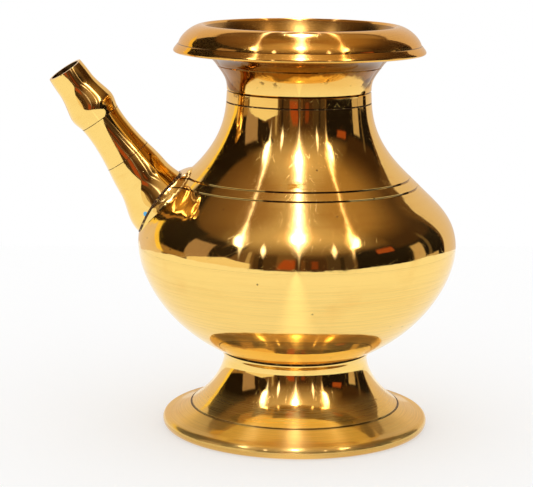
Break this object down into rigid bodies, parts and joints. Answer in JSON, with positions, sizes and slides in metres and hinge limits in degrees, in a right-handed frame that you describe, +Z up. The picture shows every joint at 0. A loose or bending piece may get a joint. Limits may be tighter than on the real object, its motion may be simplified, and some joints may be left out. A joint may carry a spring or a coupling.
{
  "type": "spouted water pot",
  "caption": "Polished brass water pot with a round belly on a flared hollow foot, a waisted neck with a heavy sloping rim, and a straight tapered pouring spout.",
  "frame": {"origin": "middle of the whole outline in plan, on the ground plane; the axis of the turned pot is 20.4 mm to +X of it", "axes": "+Z up along the axis of the turned pot; -X towards the spout; the XZ plane through the origin halves the pot"},
  "size_m": [0.1908, 0.15, 0.1907],
  "materials": {
    "polished_brass": "mirror polished",
    "neck_brass": "polished, heat stained under the rim",
    "braze": "dull darkened braze"
  },
  "bodies": {
    "root": {"foot": "polished_brass", "lower_bowl": "polished_brass", "upper_bowl": "polished_brass", "neck": "neck_brass", "mouth_rim": "polished_brass", "spout_root": "polished_brass", "spout_middle": "polished_brass", "spout_tip": "polished_brass", "foot_braze": "braze", "girth_braze": "polished_brass", "neck_braze": "braze", "rim_braze": "braze", "spout_root_braze": "braze", "spout_lower_braze": "braze", "spout_upper_braze": "braze"}
  },
  "joints": []
}
